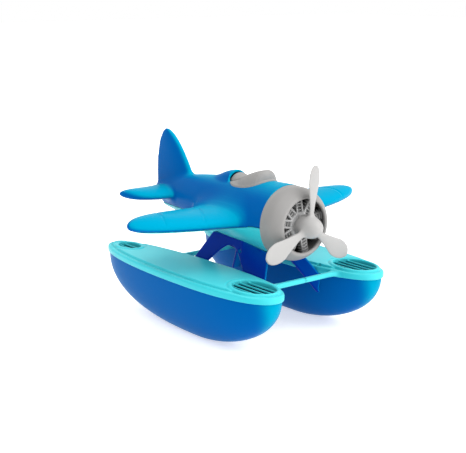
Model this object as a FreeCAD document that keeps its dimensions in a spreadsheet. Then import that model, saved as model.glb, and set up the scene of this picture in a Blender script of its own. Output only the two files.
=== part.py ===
import FreeCAD, Part
import math
import os
import Sketcher
from FreeCAD import Placement, Vector

# Toy seaplane for bath play.  Frame: +X to the nose, +Y to the port wing, +Z up, millimetres.
# The origin is on the ground, under the middle of the overall length and span.

doc = FreeCAD.newDocument("toy_seaplane")
sheet = doc.addObject("Spreadsheet::Sheet", "dims")

DIMENSIONS = [
    # floats
    ("float_nose_x", 115.9, "front end of the float rims"),
    ("float_tail_x", -110.4, "rear end of the float rims"),
    ("float_wide_x", 20.5, "where a float is widest"),
    ("float_centre_y", 53.9, "middle of a float"),
    ("float_half_width", 27.2, "rim half width"),
    ("rim_low_z", 47.4, "lower edge of the deck rim"),
    ("rim_height", 5.6, "height of the deck rim"),
    ("deck_crown", 1.4, "how far the deck rises above its rim"),
    ("rim_overhang", 1.7, "rim beyond the hull side"),
    ("wall", 2.2, "wall of the moulded shells"),
    ("hull_depth", 48.3, "depth of the full hull form below the rim edge"),
    ("vent_x", 87.8, "middle of a front vent"),
    ("vent_half_length", 21.4, "front vent, half length"),
    ("vent_half_width", 14.3, "front vent, half width"),
    ("vent_ring", 2.6, "width of the raised ring round a vent"),
    ("vent_bars", 4, "bars across a front vent"),
    ("vent_bar_width", 1.7, "thickness of a vent bar"),
    ("tail_vent_x", -83.5, "middle of a rear vent"),
    ("tail_vent_half_length", 13.0, "rear vent, half length"),
    ("tail_vent_half_width", 8.4, "rear vent, half width"),
    ("front_bar_x", 85.9, "front cross bar"),
    ("rear_bar_x", -38.0, "rear cross bar"),
    ("bar_size", 4.0, "side of a cross bar"),
    ("bar_flare", 4.0, "how far a bar widens on each side where it meets a deck"),
    ("bar_z", 49.9, "middle height of the cross bars"),
    # fuselage
    ("axis_z", 94.0, "propeller axis and fuselage middle line"),
    ("body_tail_x", -112.0, "rear end of the fuselage"),
    ("body_nose_x", 65.4, "front end of the fuselage shells"),
    ("body_half_width", 28.4, "fuselage half width at the front"),
    ("body_rise", 30.4, "fuselage above its middle line at the front"),
    ("body_drop", 28.6, "fuselage below its middle line at the front"),
    ("tail_drop", 12.5, "fuselage below its middle line at the tail"),
    ("split_front_z", 92.2, "joint of the two shells at the nose"),
    ("split_tail_z", 84.2, "joint of the two shells at the tail"),
    ("split_half_width", 29.0, "reach of that joint to each side"),
    # wing
    ("wing_x", 16.5, "where the wing tip ends, along X"),
    ("wing_front", 23.3, "leading edge ahead of the tip at the root"),
    ("wing_rear", 36.4, "trailing edge behind the tip at the root"),
    ("wing_root_y", 22.0, "wing root"),
    ("wing_tip_y", 120.6, "wing tip"),
    ("wing_root_z", 91.5, "wing middle surface at the root"),
    ("wing_tip_z", 97.9, "wing middle surface at the tip"),
    ("wing_thickness", 18.6, "greatest thickness at the root"),
    ("pan_inset", 3.0, "edge of the wing pan inside the wing outline"),
    # tail
    ("stab_x", -105.4, "where the tailplane tip ends, along X"),
    ("stab_front", 33.0, "leading edge ahead of the tip at the root"),
    ("stab_rear", 10.4, "trailing edge behind the tip at the root"),
    ("stab_tip_y", 49.0, "tailplane tip"),
    ("stab_root_z", 95.2, "tailplane at the root"),
    ("stab_tip_z", 96.2, "tailplane at the tip"),
    ("stab_thickness", 11.6, "tailplane thickness at the root"),
    ("fin_rear_x", -111.6, "rear edge of the fin at its foot"),
    ("fin_top_x", -100.5, "highest point of the fin, along X"),
    ("fin_front_x", -63.0, "front edge of the fin at its foot"),
    ("fin_foot_z", 112.5, "foot of the fin"),
    ("fin_top_z", 152.3, "top of the fin"),
    ("fin_thickness", 12.5, "fin thickness at its foot"),
    # nose
    ("cowl_rear_x", 65.4, "rear edge of the cowl"),
    ("cowl_rear_radius", 29.6, "cowl radius at its rear edge"),
    ("cowl_wide_x", 73.0, "where the cowl is widest"),
    ("cowl_radius", 29.9, "greatest cowl radius"),
    ("cowl_lip_x", 86.0, "front of the cowl lip"),
    ("mouth_radius", 21.5, "cowl mouth"),
    ("cowl_wall", 2.4, "cowl wall"),
    ("spinner_tip_x", 103.6, "tip of the spinner"),
    ("spinner_back_x", 83.0, "back face of the spinner"),
    ("spinner_radius", 9.2, "spinner radius at its back"),
    ("blade_tip_radius", 49.2, "propeller radius"),
    ("blade_x", 91.9, "propeller plane"),
    ("blade_width", 15.4, "widest chord of a blade"),
    ("blade_count", 3, "blades"),
    ("blade_phase", -5.3, "turn of the first blade from straight up, degrees"),
    ("shaft_radius", 2.5, "propeller shaft"),
    ("shaft_clearance", 0.08, "radial clearance of the shaft in its bore"),
    ("shaft_back_x", 57.6, "rear end of the shaft"),
    ("shaft_length", 35.4, "length of the shaft"),
    ("retainer_x", 58.4, "rear face of the snap ring"),
    ("retainer_thickness", 1.8, "thickness of the snap ring"),
    ("retainer_radius", 5.2, "outer radius of the snap ring"),
    ("cylinder_count", 9, "engine cylinders"),
    # cockpit
    ("arch_x", 1.6, "front rim of the headrest fairing"),
    ("arch_radius", 10.6, "headrest fairing radius"),
    ("arch_z", 117.3, "middle height of the fairing arch"),
    ("fairing_length", 30.0, "headrest fairing, front rim to tail"),
    ("well_rear_x", 8.5, "middle of the round rear end of the cockpit well"),
    ("well_front_x", 30.0, "middle of the round front end of the cockpit well"),
    ("well_radius", 10.5, "half width of the cockpit well"),
    ("screen_foot_z", 112.0, "middle height of the windscreen form, inside the fuselage"),
    ("screen_wall", 2.4, "wall of the windscreen"),
    # struts
    ("strut_wall", 2.6, "wall of the strut frame"),
    ("strut_depth", 10.0, "depth of the rear strut walls"),
    ("pin_radius", 2.0, "snap pins"),
    ("pin_head_radius", 3.2, "heads of the snap pins"),
    ("pin_head_height", 1.4, "height of the pin heads"),
    ("mould_hole_radius", 1.7, "round holes left in the struts and deck rims"),
]

for row, (alias, value, note) in enumerate(DIMENSIONS, start=1):
    sheet.set(f"A{row}", alias)
    sheet.set(f"B{row}", str(value))
    sheet.setAlias(f"B{row}", alias)
    sheet.set(f"C{row}", note)
doc.recompute()


def dim(alias):
    return float(sheet.get(alias))


def feature(label, shape):
    """One sub-part whose shape is worked out here from the sheet."""
    obj = doc.addObject("Part::Feature", label)
    obj.Label = label
    obj.Shape = shape
    obj.Placement = Placement()
    return obj


def box(x0, x1, y0, y1, z0, z1):
    return Part.makeBox(x1 - x0, y1 - y0, z1 - z0, Vector(x0, y0, z0))


def mirrored(shape):
    """The same shape on the other side of the plane of symmetry."""
    return shape.mirror(Vector(0, 0, 0), Vector(0, 1, 0))


def closed_spline(points):
    curve = Part.BSplineCurve()
    curve.interpolate(Points=points, PeriodicFlag=True)
    return Part.Wire([curve.toShape()])


def open_spline(points):
    curve = Part.BSplineCurve()
    curve.interpolate(Points=points)
    return curve.toShape()


def prism(points, direction):
    """A straight-sided solid from a closed polygon."""
    return Part.Face(Part.makePolygon(points + [points[0]])).extrude(direction)


def revolved(profile_edges):
    """A solid of revolution about the propeller axis."""
    face = Part.Face(Part.Wire(profile_edges))
    return face.revolve(Vector(0, 0, dim("axis_z")), Vector(1, 0, 0), 360)


# ---------------------------------------------------------------- floats

# exponents of the plan outline: below 1 is fuller than an ellipse
NOSE_BLUNT, TAIL_BLUNT, SIDE_BLUNT = 0.80, 0.95, 0.90


def float_outline(inset, turns=48):
    """Points of a float's plan outline, broad in front and narrower behind."""
    nose = dim("float_nose_x") - inset
    tail = dim("float_tail_x") + inset
    wide = dim("float_wide_x")
    half = dim("float_half_width") - inset
    points = []
    for i in range(turns):
        angle = 2 * math.pi * i / turns
        c, s = math.cos(angle), math.sin(angle)
        length, blunt = (nose - wide, NOSE_BLUNT) if c >= 0 else (wide - tail, TAIL_BLUNT)
        x = wide + length * math.copysign(abs(c) ** blunt, c)
        y = dim("float_centre_y") + half * math.copysign(abs(s) ** SIDE_BLUNT, s)
        points.append((x, y))
    return points


def outline_solid(inset, z0, z1):
    wire = closed_spline([Vector(x, y, z0) for x, y in float_outline(inset)])
    return Part.Face(wire).extrude(Vector(0, 0, z1 - z0))


def hull_form(inset, depth):
    """A boat-shaped solid: rings of the outline that shrink towards the keel."""
    outline = float_outline(inset)
    wide, centre = dim("float_wide_x"), dim("float_centre_y")
    top = dim("rim_low_z")
    rings = []
    for level in (0.0, 0.22, 0.44, 0.62, 0.76, 0.87, 0.95, 0.99):
        ring = []
        for x, y in outline:
            power = 2.0 if x >= wide else 2.35
            shrink = (1 - level ** power) ** (1 / power)
            side = (1 - level ** 2.2) ** (1 / 2.2)
            ring.append(Vector(wide + (x - wide) * shrink,
                               centre + (y - centre) * side,
                               top - depth * level))
        rings.append(closed_spline(ring))
    return Part.makeLoft(rings, True, False)


rim_low = dim("rim_low_z")
rim_top = rim_low + dim("rim_height")
wall = dim("wall")
overhang = dim("rim_overhang")
seat_z = rim_top - wall - 0.6            # top edge of the hull wall, under the deck plate
hull_outer = hull_form(overhang, dim("hull_depth"))
hull_outer = hull_outer.fuse(outline_solid(overhang, rim_low, seat_z)).removeSplitter()
hull_outer = hull_outer.common(box(-130, 130, 0, 100, 0, 60))
hull_inner = hull_form(overhang + wall, dim("hull_depth") - wall)
hull_inner = hull_inner.fuse(outline_solid(overhang + wall, rim_low, 60)).removeSplitter()
hull_inner = hull_inner.common(box(-130, 130, 0, 100, wall, 60))


def oval(x, half_length, half_width, z0, z1):
    """An upright oval column over the middle line of the port float."""
    ellipse = Part.Ellipse(Vector(x, dim("float_centre_y"), z0), half_length, half_width)
    return Part.Face(Part.Wire([ellipse.toShape()])).extrude(Vector(0, 0, z1 - z0))


def vent(deck, x, half_length, half_width, bars):
    """Cut an oval vent, with a raised ring and bars that run fore and aft."""
    ring = dim("vent_ring")
    plate_low = seat_z + 0.1
    collar = oval(x, half_length + ring, half_width + ring, plate_low, rim_top + 1.9)
    hole = oval(x, half_length, half_width, plate_low - 4, rim_top + 4)
    deck = deck.fuse(collar).cut(hole)
    pitch = 2 * half_width / (bars + 1)
    for i in range(bars):
        y = dim("float_centre_y") - half_width + pitch * (i + 1)
        thick = dim("vent_bar_width")
        bar = box(x - half_length - 1, x + half_length + 1, y - thick / 2, y + thick / 2,
                  rim_top - 2.4, rim_top + 0.9)
        deck = deck.fuse(bar.common(oval(x, half_length + 0.6, half_width + 0.6, 40, 60)))
    return deck


def port_deck():
    plate = outline_solid(0, rim_low, rim_top)
    plate = plate.makeFillet(2.2, [e for e in plate.Edges if abs(e.BoundBox.ZMin - rim_top) < 0.01
                                   and e.BoundBox.ZLength < 0.01])
    crown = outline_solid(4.6, rim_top - 1, rim_top + dim("deck_crown"))
    crown = crown.makeFillet(1.3, [e for e in crown.Edges
                                   if e.BoundBox.ZMin > rim_top + dim("deck_crown") - 0.01])
    deck = plate.fuse(crown)
    deck = deck.cut(outline_solid(overhang - 0.05, rim_low - 1, seat_z + 0.05))
    deck = deck.cut(outline_solid(overhang + wall, rim_low - 1, rim_top - 1.2))
    deck = vent(deck, dim("vent_x"), dim("vent_half_length"), dim("vent_half_width"),
                int(dim("vent_bars")))
    return vent(deck, dim("tail_vent_x"), dim("tail_vent_half_length"),
                dim("tail_vent_half_width"), 2)


def cross_bar(x, inner_y):
    """A rounded bar that widens where it meets the deck rims, at inner_y on each side."""
    half, z, flare = dim("bar_size") / 2, dim("bar_z"), dim("bar_flare")
    reach = inner_y + 6
    bar = box(x - half, x + half, -reach, reach, z - half, z + half)
    bar = bar.makeFillet(1.2, [e for e in bar.Edges if e.BoundBox.YLength > 10])
    for side in (-1, 1):
        wide = [Vector(x + half + out, side * (inner_y + along), z - half + 0.4)
                for out, along in ((0, -6.0), (0.25 * flare, -2.8), (flare, 0.4), (flare, 6.0))]
        narrow = [Vector(2 * x - p.x, p.y, p.z) for p in reversed(wide)]
        bar = bar.fuse(prism(wide + narrow, Vector(0, 0, 2 * half - 0.8)))
    keep_out = outline_solid(overhang - 0.05, rim_low - 3, 56)
    return bar.cut(keep_out).cut(mirrored(keep_out))


deck = port_deck()
decks = deck.fuse(mirrored(deck))
for bar_x, inner_y in ((dim("front_bar_x"), 32.1), (dim("rear_bar_x"), 30.0)):
    decks = decks.fuse(cross_bar(bar_x, inner_y))
port_hull = hull_outer.cut(hull_inner)

# ------------------------------------------------------------- airframe form

# exponents of the fuselage taper towards the tail, for its half width and for its back
SIDE_TAPER, BACK_TAPER = 0.70, 0.42
TAIL_ROUNDING = 0.055       # share of the length that the rounded tail end takes up

body_length = dim("body_nose_x") - dim("body_tail_x")


def body_section(share, inset):
    """Closed section of the fuselage at a share of its length from the tail."""
    ahead = max(1 - share, 0)
    fullness = 1 - ahead ** 1.6
    half = dim("body_half_width") * fullness ** SIDE_TAPER
    rise = dim("body_rise") * fullness ** BACK_TAPER
    drop = dim("tail_drop") + (dim("body_drop") - dim("tail_drop")) * (1 - ahead ** 1.25)
    if share < TAIL_ROUNDING:
        end = math.sqrt(1 - (1 - share / TAIL_ROUNDING) ** 2)
        half, rise, drop = half * end ** 0.3, rise * end ** 0.6, drop * end
    x = dim("body_tail_x") + body_length * share
    points = []
    for i in range(20):
        angle = 2 * math.pi * i / 20
        c, s = math.cos(angle), math.sin(angle)
        height = rise if s > 0 else drop
        points.append(Vector(x, (half - inset) * c, dim("axis_z") + (height - inset) * s))
    return closed_spline(points)


def body_form(inset, shares):
    return Part.makeLoft([body_section(share, inset) for share in shares], True, False)


def aerofoil(x_front, x_rear, y, z, thickness):
    """Closed section of a wing: rounded in front, blunt and thin behind."""
    chord = x_front - x_rear
    peak = max(math.sqrt(c / 100) * (1 - c / 100) ** 0.7 for c in range(100))
    upper, lower = [], []
    for i in range(12):
        share = (i / 11) ** 1.7
        lift = math.sqrt(share) * (1 - share) ** 0.7 / peak
        x = x_front - chord * share
        upper.append(Vector(x, y, z + 0.54 * thickness * lift + 0.45 * share))
        lower.append(Vector(x, y, z - 0.46 * thickness * lift - 0.45 * share))
    skin = lower[::-1] + upper[1:]
    return Part.Wire([open_spline(skin), Part.makeLine(skin[-1], skin[0])])


def wing_section(y, inset):
    span = dim("wing_tip_y") - inset - dim("wing_root_y")
    share = min(max((y - dim("wing_root_y")) / span, 0), 1)
    taper = (1 - share ** 2.24) ** (1 / 1.49)
    flare = math.exp(-max(y - 27, 0) / 7)
    x_front = dim("wing_x") + (dim("wing_front") - inset) * taper + 5 * flare
    x_rear = dim("wing_x") - (dim("wing_rear") - inset) * taper - 6 * flare
    z = dim("wing_root_z") + (dim("wing_tip_z") - dim("wing_root_z")) * share
    thickness = dim("wing_thickness") * (1 - 0.14 * share) * math.sqrt(1 - share ** 8.5)
    thickness = (thickness - 1.6 * inset) * (1 + 0.3 * flare)
    return aerofoil(x_front, x_rear, y, z, thickness)


def wing_form(inset, stations):
    return Part.makeLoft([wing_section(y, inset) for y in stations], True, False)


def stab_section(y):
    root = 8.0
    share = min(max((y - root) / (dim("stab_tip_y") - root), 0), 1)
    taper = (1 - share ** 2.71) ** (1 / 1.74)
    flare = math.exp(-max(y - 10, 0) / 5)
    z = dim("stab_root_z") + (dim("stab_tip_z") - dim("stab_root_z")) * share
    thickness = dim("stab_thickness") * (1 - 0.1 * share) * math.sqrt(1 - share ** 8)
    return aerofoil(dim("stab_x") + dim("stab_front") * taper + 2 * flare,
                    dim("stab_x") - dim("stab_rear") * taper,
                    y, z, thickness * (1 + 0.2 * flare))


def fin_section(share):
    """Level section of the fin at a share of its height."""
    foot, top = dim("fin_foot_z"), dim("fin_top_z")
    z = foot + (top - foot) * share
    height = max(share, 0)
    x_rear = dim("fin_top_x") - (dim("fin_top_x") - dim("fin_rear_x")) * (1 - height ** 2.6) ** 0.65
    x_front = dim("fin_top_x") + (dim("fin_front_x") - dim("fin_top_x")) * (1 - height ** 0.9) ** 0.6
    if share < 0:
        x_front = dim("fin_front_x") - 6 * share
    chord = x_front - x_rear
    thickness = dim("fin_thickness") * (1 - 0.45 * height) * math.sqrt(1 - height ** 9)
    side = []
    for i in range(9):
        along = (i / 8) ** 1.6
        bulge = math.sqrt(along) * (1 - 0.72 * along)
        side.append((x_front - chord * along, thickness * bulge))
    port = [Vector(x, y, z) for x, y in side]
    starboard = [Vector(x, -y, z) for x, y in side]
    skin = starboard[::-1] + port[1:]
    return Part.Wire([open_spline(skin), Part.makeLine(skin[-1], skin[0])])


BODY_SHARES = (0.004, 0.02, 0.05, 0.12, 0.25, 0.42, 0.6, 0.78, 0.92, 1.0)
WING_STATIONS = (8, 20, 27, 31, 36, 44, 58, 76, 94, 106, 113, 117.5, 119.8, 120.4)
STAB_STATIONS = (2, 9, 12, 16, 24, 33, 40, 45, 47.6, 48.7)
FIN_SHARES = (-0.45, 0.0, 0.2, 0.45, 0.7, 0.86, 0.95, 0.99)

body = body_form(0, BODY_SHARES)
wing = wing_form(0, WING_STATIONS)
stab = Part.makeLoft([stab_section(y) for y in STAB_STATIONS], True, False)
fin = Part.makeLoft([fin_section(share) for share in FIN_SHARES], True, False)


def fairing(radius, front_x, tail_x):
    """Hump behind the pilot: arches that shrink towards the tail."""
    arches = []
    for share in (0.0, 0.25, 0.55, 0.85, 1.0):
        x = front_x + (tail_x - front_x) * share
        size = radius * math.cos(share * 1.25)
        drop = 3.2 * share
        circle = Part.Circle(Vector(x, 0, dim("arch_z") - drop), Vector(1, 0, 0), size)
        arches.append(Part.Wire([circle.toShape()]))
    return Part.makeLoft(arches, True, False)


hump = fairing(dim("arch_radius"), dim("arch_x"), dim("arch_x") - dim("fairing_length"))
airframe = body
for form in (wing, mirrored(wing), stab, mirrored(stab), fin, hump):
    airframe = airframe.fuse(form)

# hollow of the fuselage, open at the nose, and of the two wings
body_hollow = body_form(wall + 0.2, (0.07, 0.14, 0.27, 0.42, 0.6, 0.78, 0.92, 1.02))
wing_hollow = wing_form(2.6, (8, 20, 27, 31, 36, 44, 58, 76, 94, 104))


def wing_pan_zone():
    """Column under the port wing that holds the wing's pan."""
    inset = dim("pan_inset")
    front, rear = [], []
    for y in (20, 36, 55, 75, 92, 105, 113):
        share = (y - dim("wing_root_y")) / (dim("wing_tip_y") - inset - dim("wing_root_y"))
        taper = (1 - max(share, 0) ** 2.24) ** (1 / 1.49)
        front.append(Vector(dim("wing_x") + (dim("wing_front") - inset) * taper, y, 70))
        rear.append(Vector(dim("wing_x") - (dim("wing_rear") - inset) * taper, y, 70))
    tip = Vector(dim("wing_x"), dim("wing_tip_y") - inset, 70)
    edge = open_spline(front + [tip] + rear[::-1])
    face = Part.Face(Part.Wire([edge, Part.makeLine(rear[0], front[0])]))
    column = face.extrude(Vector(0, 0, 40))
    rise = (dim("wing_tip_z") - dim("wing_root_z")) / (dim("wing_tip_y") - dim("wing_root_y"))
    level = dim("wing_root_z") - 4.0
    below = prism([Vector(-130, 0, 60), Vector(-130, 130, 60),
                   Vector(-130, 130, level + rise * 108), Vector(-130, 0, level - rise * 22)],
                  Vector(260, 0, 0))
    return column.common(below)


slope = (dim("split_front_z") - dim("split_tail_z")) / (dim("body_nose_x") + 91)
side_y = dim("split_half_width")
split_low = prism([Vector(-130, -side_y, 50), Vector(80, -side_y, 50),
                   Vector(80, -side_y, dim("split_front_z") + slope * (80 - dim("body_nose_x"))),
                   Vector(-130, -side_y, dim("split_front_z") - slope * (130 + dim("body_nose_x")))],
                  Vector(0, 2 * side_y, 0))
pans = wing_pan_zone()

arch_bore = fairing(dim("arch_radius") - 1.7, dim("arch_x") + 1, dim("arch_x") - 13)


def long_hole(x0, x1, radius, z0, z1):
    """Upright column with round ends, along the middle line."""
    column = box(x0, x1, -radius, radius, z0, z1)
    for x in (x0, x1):
        column = column.fuse(Part.makeCylinder(radius, z1 - z0, Vector(x, 0, z0)))
    return column


well = long_hole(dim("well_rear_x"), dim("well_front_x"), dim("well_radius"), 108, 138)
well = well.cut(fairing(dim("arch_radius") + 0.01, dim("arch_x"), dim("arch_x") - dim("fairing_length")))

skin = airframe.cut(body_hollow).cut(wing_hollow).cut(mirrored(wing_hollow))
upper = skin
for tool in (split_low, pans, mirrored(pans), arch_bore, well):
    upper = upper.cut(tool)
belly = skin.common(split_low.fuse(pans).fuse(mirrored(pans)))

# ------------------------------------------------------------------- cockpit


# windscreen arches: place along X, height above screen_foot_z, half width at that height
SCREEN_ARCHES = [
    (10.8, 5.0, 5.0), (11.4, 7.4, 8.0), (12.6, 9.8, 10.8), (15.0, 12.4, 13.4),
    (19.0, 14.4, 15.1), (24.2, 16.5, 15.8), (29.6, 18.4, 15.4), (35.0, 19.9, 14.2),
    (38.0, 20.4, 12.8), (40.2, 19.8, 10.6), (41.8, 17.8, 7.6), (42.8, 15.0, 4.8),
]


def screen_form(inset):
    """Windscreen hump: low behind, rising forward, steep and blunt in front."""
    rings = []
    first, last = SCREEN_ARCHES[0][0], SCREEN_ARCHES[-1][0]
    for x, height, half_width in SCREEN_ARCHES:
        share = (x - first) / (last - first)
        ring = []
        for i in range(16):
            angle = 2 * math.pi * i / 16
            ring.append(Vector(x + inset * (1 - 2 * share), (half_width - inset) * math.cos(angle),
                               dim("screen_foot_z") + (height - inset) * math.sin(angle)))
        rings.append(closed_spline(ring))
    return Part.makeLoft(rings, True, False)


screen = screen_form(0).cut(screen_form(dim("screen_wall")))
body_open = body.cut(well)
screen = screen.common(box(-20, 80, -30, 30, 117.5, 140)).cut(body_open)
seat_pan = long_hole(dim("well_rear_x"), dim("well_front_x"), dim("well_radius") - 0.1, 116, 118.5)
pad_radius = dim("arch_radius") - 1.75
headrest = fairing(pad_radius, dim("arch_x") + 1, dim("arch_x") - 12)
nose_of_pad = Part.makeSphere(pad_radius, Vector(dim("arch_x") + 1, 0, dim("arch_z")))
headrest = headrest.fuse(nose_of_pad.common(box(dim("arch_x") + 1, 30, -12, 12, 100, 130)))
headrest = headrest.common(box(-20, 20, -12, 12, 116, 130)).cut(body_open)
cockpit = seat_pan.fuse(screen).fuse(headrest)

# ---------------------------------------------------------------------- nose

axis_z = dim("axis_z")


def on_axis(x, radius):
    return Vector(x, 0, axis_z + radius)


def cowl_shape():
    """Rolled ring: outer skin, round lip and hollow inside."""
    rear, wide, lip = dim("cowl_rear_x"), dim("cowl_wide_x"), dim("cowl_lip_x")
    mouth, wall_in = dim("mouth_radius"), dim("cowl_wall")
    outside = open_spline([on_axis(rear, dim("cowl_rear_radius")),
                           on_axis(wide, dim("cowl_radius")),
                           on_axis(wide + 7, dim("cowl_radius") - 1.6),
                           on_axis(lip, mouth + 3.2)])
    roll = Part.Arc(on_axis(lip, mouth + 3.2), on_axis(lip - 0.1, mouth + 1.0),
                    on_axis(lip - 1.6, mouth)).toShape()
    inside = open_spline([on_axis(lip - 1.6, mouth), on_axis(lip - 5, mouth + 2.0),
                          on_axis(wide + 2, dim("cowl_radius") - wall_in - 0.4),
                          on_axis(rear, dim("cowl_rear_radius") - wall_in)])
    back = Part.makeLine(on_axis(rear, dim("cowl_rear_radius") - wall_in),
                         on_axis(rear, dim("cowl_rear_radius")))
    return revolved([outside, roll, inside, back])


def disc(x0, x1, radius):
    return Part.makeCylinder(radius, x1 - x0, Vector(x0, 0, axis_z), Vector(1, 0, 0))


def engine_cylinder(angle):
    """One finned cylinder with its head, standing out from the crankcase."""
    centre = Vector(73.2, 0, axis_z)
    up = Vector(0, 0, 1)
    barrel = Part.makeCylinder(4.3, 18.4, centre + up * 8, up)
    for i in range(6):
        barrel = barrel.fuse(Part.makeCylinder(5.5, 1.0, centre + up * (12 + 2.1 * i), up))
    rod = Part.makeCylinder(0.9, 17.0, Vector(80.2, 2.6, axis_z + 8.0), Vector(-0.21, 0, 1))
    other_rod = rod.mirror(Vector(0, 0, 0), Vector(0, 1, 0))
    bridge = box(74.0, 78.4, -3.5, 3.5, axis_z + 23.0, axis_z + 25.2)
    barrel = barrel.fuse(rod).fuse(other_rod).fuse(bridge)
    barrel.rotate(Vector(0, 0, axis_z), Vector(1, 0, 0), angle)
    return barrel


def engine_shape():
    case = revolved([Part.makeLine(on_axis(60.6, 0), on_axis(60.6, 5.5)),
                     Part.makeLine(on_axis(60.6, 5.5), on_axis(63.0, 5.5)),
                     Part.makeLine(on_axis(63.0, 5.5), on_axis(63.0, 25.9)),
                     Part.makeLine(on_axis(63.0, 25.9), on_axis(65.4, 25.9)),
                     Part.makeLine(on_axis(65.4, 25.9), on_axis(67.2, 27.0)),
                     Part.makeLine(on_axis(67.2, 27.0), on_axis(67.2, 11.5)),
                     Part.makeLine(on_axis(67.2, 11.5), on_axis(78.0, 10.6)),
                     Part.makeLine(on_axis(78.0, 10.6), on_axis(82.3, 7.4)),
                     Part.makeLine(on_axis(82.3, 7.4), on_axis(82.3, 0)),
                     Part.makeLine(on_axis(82.3, 0), on_axis(60.6, 0))])
    count = int(dim("cylinder_count"))
    for i in range(count):
        case = case.fuse(engine_cylinder(360 * i / count))
    return case.cut(disc(55, 90, dim("shaft_radius") + dim("shaft_clearance")))


def blade_shape():
    """Paddle blade standing straight up: narrow neck, broad round tip, some pitch."""
    tip, full = dim("blade_tip_radius"), dim("blade_width")
    sections = []
    for share in (0.10, 0.2, 0.32, 0.48, 0.64, 0.78, 0.88, 0.95, 0.988):
        radius = tip * share
        broad = 0.36 + 0.64 * min(max((share - 0.24) / 0.46, 0), 1) ** 1.3
        chord = full * broad * math.sqrt(1 - max((share - 0.74) / 0.26, 0) ** 2.2)
        thick = 3.4 - 1.8 * share
        pitch = math.radians(20 - 6 * share)
        points = []
        for i in range(14):
            angle = 2 * math.pi * i / 14
            along = 0.5 * chord * math.cos(angle)
            across = 0.5 * thick * math.sin(angle) * math.sqrt(min(chord / 8, 1))
            points.append(Vector(dim("blade_x") - along * math.sin(pitch) + across * math.cos(pitch),
                                 along * math.cos(pitch) + across * math.sin(pitch),
                                 axis_z + radius))
        sections.append(closed_spline(points))
    return Part.makeLoft(sections, True, False)


def propeller_shape():
    back, tip, radius = dim("spinner_back_x"), dim("spinner_tip_x"), dim("spinner_radius")
    nose = open_spline([on_axis(back + 5, radius), on_axis(back + 11, radius * 0.93),
                        on_axis(back + 16, radius * 0.70), on_axis(tip - 1.2, radius * 0.33),
                        on_axis(tip, 0)])
    hub = revolved([Part.makeLine(on_axis(back, 0), on_axis(back, radius * 0.9)),
                    Part.makeLine(on_axis(back, radius * 0.9), on_axis(back + 5, radius)),
                    nose,
                    Part.makeLine(on_axis(tip, 0), on_axis(back, 0))])
    blade = blade_shape()
    count = int(dim("blade_count"))
    for i in range(count):
        copy = blade.copy()
        copy.rotate(Vector(0, 0, axis_z), Vector(1, 0, 0), dim("blade_phase") + 360 * i / count)
        hub = hub.fuse(copy)
    return hub.cut(disc(back - 1, back + 12, dim("shaft_radius")))


cowl = cowl_shape()
engine = engine_shape().cut(cowl)
propeller = propeller_shape()

# -------------------------------------------------------------------- struts


def edge_point(low, high, z):
    """Point at height z on the straight edge through two points."""
    share = (z - low[2]) / (high[2] - low[2])
    return Vector(low[0] + (high[0] - low[0]) * share, low[1] + (high[1] - low[1]) * share, z)


FRONT_OUTER = ((72.1, 28.6, 49.5), (66.0, 21.2, 60.5))
FRONT_INNER = ((69.8, 31.0, 30.0), (54.6, 12.0, 60.1))
REAR_OUTER = ((-23.9, 28.0, 51.0), (-6.9, 20.0, 76.0))
MIDDLE_OUTER = ((40.0, 28.0, 51.0), (33.0, 20.0, 76.0))


def strut_levels(inset):
    """Plan sections of one side frame, low and high; inset gives the hollow behind its walls."""
    levels = []
    for z in (30.0, 76.0):
        rear = edge_point(*REAR_OUTER, z)
        middle = edge_point(*MIDDLE_OUTER, z)
        front = edge_point(*FRONT_OUTER, z)
        inner = edge_point(*FRONT_INNER, z)
        back = Vector(rear.x, rear.y - dim("strut_depth"), z)
        if inset > 0:
            along = (inner - front).normalize()
            normal = Vector(along.y, -along.x, 0)
            if normal.x < 0:
                normal = normal * -1
            shift = normal * -inset
            reach = (inset + shift.y) / -along.y
            front = front + shift + along * reach
            inner = inner + shift + along * 8
            rear = Vector(rear.x + inset, rear.y - inset, z)
            middle = Vector(middle.x, middle.y - inset, z)
            back = Vector(rear.x, rear.y - 24, z)
        points = [rear, middle, front, inner, back]
        levels.append(Part.makePolygon(points + [rear]))
    return levels


def side_window():
    """Arched opening between the front and the rear leg."""
    arch = open_spline([Vector(x, 0, z) for x, z in (
        (-29, 30), (-5.9, 51), (4.5, 60.8), (12, 66.6), (21, 69), (29, 65.5),
        (36.5, 58), (43, 50), (57, 30))])
    face = Part.Face(Part.Wire([arch, Part.makeLine(Vector(57, 0, 30), Vector(-29, 0, 30))]))
    return face.extrude(Vector(0, 60, 0))


side = Part.makeLoft(strut_levels(0), True, True).cut(
    Part.makeLoft(strut_levels(dim("strut_wall")), True, True)).cut(side_window())
cradle = prism([Vector(-6, -17, 67.6), Vector(53, -17, 62.4), Vector(53, -17, 76),
                Vector(-6, -17, 76)], Vector(0, 34, 0))
frame = side.fuse(mirrored(side)).fuse(cradle)
for obstacle in (body, hull_outer, mirrored(hull_outer), decks):
    frame = frame.cut(obstacle)
frame = frame.common(box(-60, 100, -40, 40, 30, 80))

# ----------------------------------------------------------------- snap pins


def snap_pin(base, axis, length):
    """Round pin with a flat head; base is the outer face of the head."""
    head = Part.makeCylinder(dim("pin_head_radius"), dim("pin_head_height"), base, axis)
    shank = Part.makeCylinder(dim("pin_radius"), length, base, axis)
    return head.fuse(shank)


saddle_pins = []
for x, z in ((4.0, 65.3), (44.0, 61.8)):
    saddle_pins.append(snap_pin(Vector(x, 0, z), Vector(0, 0, 1), 9.0))
foot_pins = []
for x in (-20.0, 60.0):
    pin = snap_pin(Vector(x, 26.4, 42.5), Vector(0, 1, 0), 7.6)
    foot_pins += [pin, mirrored(pin)]

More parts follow.
